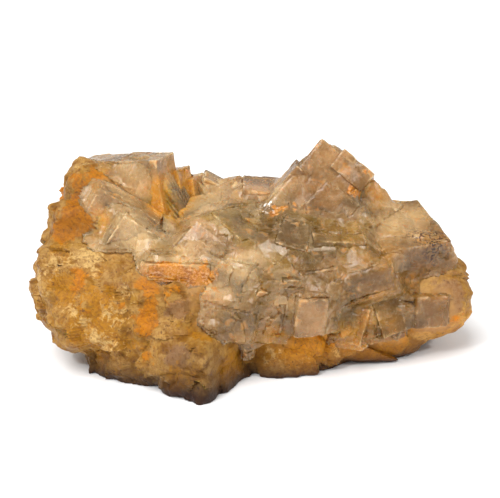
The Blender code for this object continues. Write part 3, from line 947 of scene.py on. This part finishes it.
def rock_colour(tree, place, fine, middle, ragged):
    """Body, grains, the four stains, dark lines and specks, druse, then painted shade and painted light."""
    tint = ROCK_TINTS
    colour = mix(tree, spread(tree, middle, 0.38, 0.62), tint["dark body"], tint["light body"])
    pale = spread(tree, noise(tree, place, 190, 8, 1.0, 0.6), 0.46, 0.58, 0, 0.80)
    colour = mix(tree, pale, colour, tint["pale grain"])
    for name in ("mauve", "ochre", "cream", "rust"):
        patchy = math(tree, "ADD", number(tree, name), spread(tree, ragged, 0.3, 0.7, -0.4, 0.4))
        colour = mix(tree, spread(tree, patchy, 0.30, 0.50, 0, 0.92), colour, tint[name])
    deep = spread(tree, noise(tree, place, 600, 6, 0.8, 0.7), 0.52, 0.62, 0, 0.85)
    colour = mix(tree, times(tree, number(tree, "rust"), deep), colour, tint["deep rust"])
    colour = mix(tree, spread(tree, fine, 0.38, 0.55, 0.55, 0), colour, tint["fine dark"])
    vein = spread(tree, noise(tree, place, 120, 6, 2.0), 0.49, 0.51)
    line = times(tree, vein, math(tree, "SUBTRACT", 1.0, vein))
    colour = mix(tree, spread(tree, line, 0.05, 0.25, 0, 0.6), colour, tint["line"])
    speck = spread(tree, noise(tree, place, 1300, 3), 0.62, 0.68, 0, 0.75)
    colour = mix(tree, speck, colour, tint["speck"])
    druse = times(tree, number(tree, "seam"), spread(tree, middle, 0.35, 0.65, 0.4, 0.9))
    druse = times(tree, druse, spread(tree, number(tree, "rust"), 0, 1, 1, 0))
    colour = mix(tree, druse, colour, tint["druse"])
    # Painted shade, then painted light: each multiplies the colour.
    colour = mix(tree, number(tree, "under"), colour, tint["under"], "MULTIPLY")
    return mix(tree, number(tree, "painted_light"), colour, tint["painted_light"], "MULTIPLY")


# %% Rock material
ROCK_SPECULAR = 0.22            # less gloss than the usual 0.5: the rock is dusty
ROCK_SCATTER = 0.45             # share of the light that scatters below the surface, as in quartz
ROCK_SCATTER_REACH = 0.0008     # and how far it goes, in metres, alike for red, green and blue


def rock_material():
    """Quartzy rock: its colour, a gloss that changes from place to place, coarse and fine relief."""
    material, tree, shader, place = new_material("vein rock")
    fine = noise(tree, place, scale=1100, detail=5, distortion=0.4, roughness=0.65)
    middle = noise(tree, place, scale=260, detail=6, distortion=0.8)
    ragged = noise(tree, place, scale=480, detail=9, distortion=1.0, roughness=0.7)
    tree.links.new(rock_colour(tree, place, fine, middle, ragged), shader.inputs["Base Color"])
    tree.links.new(spread(tree, middle, 0.3, 0.7, 0.28, 0.55), shader.inputs["Roughness"])
    relief = bump(tree, ragged, distance=0.0012, strength=0.5)
    relief = bump(tree, fine, distance=0.0002, strength=0.4, below=relief)
    tree.links.new(relief, shader.inputs["Normal"])
    shader.inputs["Specular IOR Level"].default_value = ROCK_SPECULAR
    shader.inputs["Subsurface Weight"].default_value = ROCK_SCATTER
    shader.inputs["Subsurface Radius"].default_value = (ROCK_SCATTER_REACH,) * 3
    shader.inputs["Subsurface Scale"].default_value = 1.0
    return material


rock.data.materials.append(rock_material())
print("rock material:", len(rock.data.materials[0].node_tree.nodes), "nodes")

# %% [markdown]
# ## The finish of the fluorite
#
# This fluorite isn't clear like window glass: veils of tiny bubbles and cracks send much of the light
# back, and the rest comes through tinted.  Plain glass over dark rock would look black.  So a part of the
# light scatters below the surface in the body's own colour, and the rest passes through, except where
# something solid lies on the face or light is painted on.  A weak absorption tints the thick parts.  The
# colour is built in layers from the inside out: the body with its clouds and veils and its painted light
# and painted shade, the frosted edges with their partly painted highlight and the iron, then rust, a fine
# pale and dark dust, painted glints and specks.

# %% Fluorite's body
FLUORITE_TINTS = {
    "deep tone": (0.28, 0.165, 0.03),
    # The next two are painted light and painted shade.
    "light": (0.98, 0.70, 0.36),
    "shade": (0.23, 0.085, 0.0),
    "cloud": (0.44, 0.28, 0.09),
    "veil": (1.0, 0.78, 0.48),
    "pale cell": (0.95, 0.70, 0.42),
    "dark cell": (0.30, 0.19, 0.06),
    # frost on the edges, partly a painted highlight
    "frost_and_highlight": (1.0, 0.80, 0.54),
    "seam": (0.50, 0.25, 0.06),
    "iron": (0.80, 0.37, 0.03),
    "dark rust": (0.32, 0.085, 0.0),
    "bright rust": (0.56, 0.21, 0.0),
    "pale dust": (1.0, 0.84, 0.60),
    "dark dust": (0.24, 0.12, 0.04),
    # painted glints
    "painted_glint": (1.0, 0.96, 0.88),
    "speck": (0.07, 0.012, 0.0),
}
FACETS_PER_METRE = 240          # cells of the pattern of small flat breaks


def small_facets(tree, place):
    """Small flat breaks and their shades, from the cells of a Voronoi pattern.

    Each cell's surface leans its own way: its height is a random lean times the way from the cell's centre.
    """
    cells = add(tree, "TexVoronoi", {"Vector": place, "Scale": FACETS_PER_METRE, "Randomness": 1})
    lean = add(tree, "VectorMath", {0: cells.outputs["Color"], 1: (0.5, 0.5, 0.5)}, operation="SUBTRACT")
    within = add(tree, "VectorMath", {0: place, 1: cells.outputs["Position"]}, operation="SUBTRACT")
    height = add(tree, "VectorMath", {0: lean.outputs[0], 1: within.outputs[0]}, operation="DOT_PRODUCT")
    shade = add(tree, "SeparateColor", {"Color": cells.outputs["Color"]}).outputs["Red"]
    return times(tree, height.outputs["Value"], number(tree, "broken")), shade


def body_layers(tree, clouds, veils, shade):
    """Stored body colour, its tone, painted light and painted shade, then clouds, veils, and pale and dark
    cells.
    """
    tint = FLUORITE_TINTS
    body = add(tree, "Attribute", attribute_name="body").outputs["Color"]
    colour = mix(tree, spread(tree, number(tree, "tone"), 0, 1, 0.40, 0), body, tint["deep tone"])
    # Painted light on tops and lit faces, painted shade on faces turned away.
    colour = mix(tree, spread(tree, number(tree, "light"), 0, 1, 0, 0.75), colour, tint["light"])
    colour = mix(tree, spread(tree, number(tree, "shade"), 0, 1, 0, 0.7), colour, tint["shade"])
    colour = mix(tree, spread(tree, clouds, 0.36, 0.60, 0.4, 0), colour, tint["cloud"])
    colour = mix(tree, spread(tree, veils, 0.45, 0.70, 0, 0.2), colour, tint["veil"])
    cell = spread(tree, number(tree, "broken"), CRYSTAL_BROKEN, 1, 0.35, 1)
    pale_cell = times(tree, spread(tree, shade, 0.6, 1, 0, 0.3), cell)
    colour = mix(tree, pale_cell, colour, tint["pale cell"])
    dark_cell = times(tree, spread(tree, shade, 0.4, 0, 0, 0.25), cell)
    return mix(tree, dark_cell, colour, tint["dark cell"])


# %% Fluorite's frost and painted highlight, iron, rust, dust and painted glints
def edge_layers(tree, colour, clouds, veils):
    """Frost, partly a painted highlight, on the edges and broken up by veils, then iron in seams and
    patches.
    """
    edge = times(tree, number(tree, "frost_and_highlight"), spread(tree, veils, 0.45, 0.62))
    colour = mix(tree, spread(tree, edge, 0, 1, 0, 0.35), colour, FLUORITE_TINTS["frost_and_highlight"])
    seam = times(tree, number(tree, "seam"), spread(tree, veils, 0.45, 0.62, 0, 0.35))
    colour = mix(tree, seam, colour, FLUORITE_TINTS["seam"])
    iron = times(tree, number(tree, "iron"), spread(tree, clouds, 0.3, 0.6, 0.5, 1))
    return mix(tree, spread(tree, iron, 0.1, 0.8, 0, 0.9), colour, FLUORITE_TINTS["iron"]), edge, iron


def dust_layers(tree, place, colour, veils):
    """Rust with dark and bright grains, then a pale and a dark dust over all, painted glints and dark
    specks.
    """
    tint = FLUORITE_TINTS
    dust = noise(tree, place, 1700, 4, 0, 0.75)
    patchy = math(tree, "ADD", number(tree, "rust"), spread(tree, veils, 0.35, 0.65, -0.45, 0.45))
    rusty = spread(tree, patchy, 0.30, 0.55)
    grains = spread(tree, math(tree, "ADD", dust, veils), 0.80, 1.05)
    rust = mix(tree, grains, tint["dark rust"], tint["bright rust"])
    colour = mix(tree, times(tree, rusty, 0.95), colour, rust)
    colour = mix(tree, spread(tree, dust, 0.50, 0.64, 0, 0.32), colour, tint["pale dust"])
    colour = mix(tree, spread(tree, dust, 0.46, 0.34, 0, 0.40), colour, tint["dark dust"])
    # Painted glints: small bright spots painted into the colour where the glint patches lie.
    glints = spread(tree, noise(tree, place, 1100, 2), 0.57, 0.62)
    glints = times(tree, glints, spread(tree, number(tree, "painted_glint_places"), 0.3, 1.0))
    colour = mix(tree, glints, colour, tint["painted_glint"])
    dots = spread(tree, noise(tree, place, 1900, 2), 0.52, 0.56)
    return mix(tree, times(tree, number(tree, "specks"), dots), colour, tint["speck"]), rusty, glints


# %% Fluorite material
FLUORITE_IOR = 1.434
SCATTER_REACH = 0.0012          # how far light scatters below the surface, in metres, alike for each colour


def clearness(tree, clouds, solid):
    """1 where light may pass: it falls with what is solid, in the clouds, and a little in the druse."""
    clear = spread(tree, math(tree, "SUBTRACT", 1.0, solid), 0, 0.8, 0.15, 1.0)
    clear = times(tree, clear, spread(tree, clouds, 0.4, 0.6, 1.0, 0.7))
    return times(tree, clear, spread(tree, number(tree, "broken"), CRYSTAL_BROKEN, 1, 1, 0.9))


def crystal_material(name, transmission, absorption, density):
    """Cloudy fluorite: colour in layers, light let through where it's clear, and relief of four sizes."""
    material, tree, shader, place = new_material(name)
    clouds = noise(tree, place, scale=110, detail=5, distortion=0.5)
    veils = noise(tree, place, scale=420, detail=6, distortion=0.6)
    grain = noise(tree, place, scale=2600)
    facets, shade = small_facets(tree, place)
    colour = body_layers(tree, clouds, veils, shade)
    colour, edge, iron = edge_layers(tree, colour, clouds, veils)
    colour, rusty, glints = dust_layers(tree, place, colour, veils)
    tree.links.new(colour, shader.inputs["Base Color"])
    tree.links.new(spread(tree, veils, 0.40, 0.60, 0.07, 0.34), shader.inputs["Roughness"])
    # Painted light and painted glints count as solid as well, so less light passes through there.
    light = times(tree, number(tree, "light"), 0.6)
    solid = largest(tree, edge, rusty, times(tree, iron, 0.6), light, glints)
    clear = clearness(tree, clouds, solid)
    tree.links.new(times(tree, clear, transmission), shader.inputs["Transmission Weight"])
    relief = bump(tree, facets, distance=0.9)
    relief = bump(tree, clouds, distance=0.001, strength=0.3, below=relief)
    relief = bump(tree, veils, distance=0.0003, strength=0.4, below=relief)
    relief = bump(tree, grain, distance=0.0001, strength=0.5, below=relief)
    tree.links.new(relief, shader.inputs["Normal"])
    shader.inputs["IOR"].default_value = FLUORITE_IOR
    shader.inputs["Subsurface Weight"].default_value = 1.0
    shader.inputs["Subsurface Radius"].default_value = (SCATTER_REACH,) * 3
    shader.inputs["Subsurface Scale"].default_value = 1.0
    volume = add(tree, "VolumeAbsorption", {"Color": (*absorption, 1), "Density": density})
    tree.links.new(volume.outputs["Volume"], tree.nodes["Material Output"].inputs["Volume"])
    print(name + ":", len(tree.nodes), "nodes")
    return material


# %% Fluorite on the crystals and the druse
frosted = crystal_material("frosted fluorite", transmission=0.78, absorption=(0.97, 0.82, 0.55), density=25)
amber = crystal_material("amber fluorite", transmission=0.6, absorption=(0.92, 0.60, 0.15), density=60)
druse.data.materials.append(frosted)
for name, obj in groups.items():
    obj.data.materials.clear()
    obj.data.materials.append(amber if name == "amber_crystal" else frosted)
    obj.data.polygons.foreach_set("material_index", np.zeros(len(obj.data.polygons), np.int32))

# %% [markdown]
# ## Finishing the pieces
#
# Worn edges look round only where the shading runs over them, and a break looks sharp only where it
# doesn't.  So every piece is shaded smooth, and edges that bend by more than an angle are marked sharp.
# Then each piece is attached to the body it rides on, and the imported solids that it stands for are
# hidden.

# %% Ride and replace
SHARP_ANGLE = radians(30)

for obj in [rock, druse, *groups.values()]:
    obj.data.shade_smooth()
    obj.data.set_sharp_from_angle(angle=SHARP_ANGLE)
    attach(obj, "root")
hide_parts("matrix")
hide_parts("middle_crystals")
for name, obj in groups.items():
    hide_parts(name)
print(len(groups) + 2, "pieces finished")

# %% [markdown]
# ## Floor, light and camera
#
# A specimen is shown on a plain pale floor in soft light.  A long lens from above the front keeps the
# cubes' edges nearly parallel.  A wide sun gives soft shadows, two small lamps give the glints on fresh
# breaks, and a pale world fills the rest.

# %% Camera
AIM = (Vector((0, 0, 29)) + Vector(ORIGIN_SHIFT)) * MM
CAMERA_DISTANCE = 0.348
CAMERA_HEIGHT = radians(22)     # how far the camera looks down
CAMERA_LENS = 100

scene = bpy.context.scene
camera = bpy.data.objects.new("camera", bpy.data.cameras.new("camera"))
scene.collection.objects.link(camera)
ahead = Vector((0, np.cos(CAMERA_HEIGHT), -np.sin(CAMERA_HEIGHT)))
camera.location = AIM - ahead * CAMERA_DISTANCE
camera.rotation_euler = ahead.to_track_quat("-Z", "Y").to_euler()
camera.data.lens = CAMERA_LENS
camera.data.clip_start = 0.01
scene.camera = camera
print("camera:", round(CAMERA_DISTANCE / MM), "mm from its aim")

# %% Floor
FLOOR_SIZE = 6
FLOOR_GAP = 0.0001              # the floor lies this much below the base, so that the two don't flicker

bpy.ops.mesh.primitive_plane_add(size=FLOOR_SIZE, location=(0, 0, -FLOOR_GAP))
floor = bpy.context.object
floor.name = "floor"
floor_material = bpy.data.materials.new("floor")
floor_material.use_nodes = True
floor_shader = floor_material.node_tree.nodes["Principled BSDF"]
floor_shader.inputs["Base Color"].default_value = (0.9, 0.9, 0.9, 1)
floor_shader.inputs["Roughness"].default_value = 1
floor.data.materials.append(floor_material)


# %% Light
LAMP_SIZE = 0.04
LAMP_POWER = 0.7


def soft_light(name, kind, place, **settings):
    """A light at that place, in metres, that faces the cluster."""
    light = bpy.data.lights.new(name, kind)
    for key, value in settings.items():
        setattr(light, key, value)
    obj = bpy.data.objects.new(name, light)
    scene.collection.objects.link(obj)
    obj.location = place
    obj.rotation_euler = (AIM - Vector(place)).to_track_quat("-Z", "Y").to_euler()


soft_light("key", "SUN", (-0.18, -0.20, 0.5), energy=2.9, angle=radians(40))
soft_light("left glints", "AREA", (-0.25, -0.35, 0.4), energy=LAMP_POWER, size=LAMP_SIZE)
soft_light("right glints", "AREA", (0.35, -0.2, 0.35), energy=LAMP_POWER, size=LAMP_SIZE)
world = bpy.data.worlds.new("studio")
world.use_nodes = True
world.node_tree.nodes["Background"].inputs["Color"].default_value = (1, 1, 1, 1)
world.node_tree.nodes["Background"].inputs["Strength"].default_value = 0.55
scene.world = world
scene.view_settings.view_transform = "Standard"
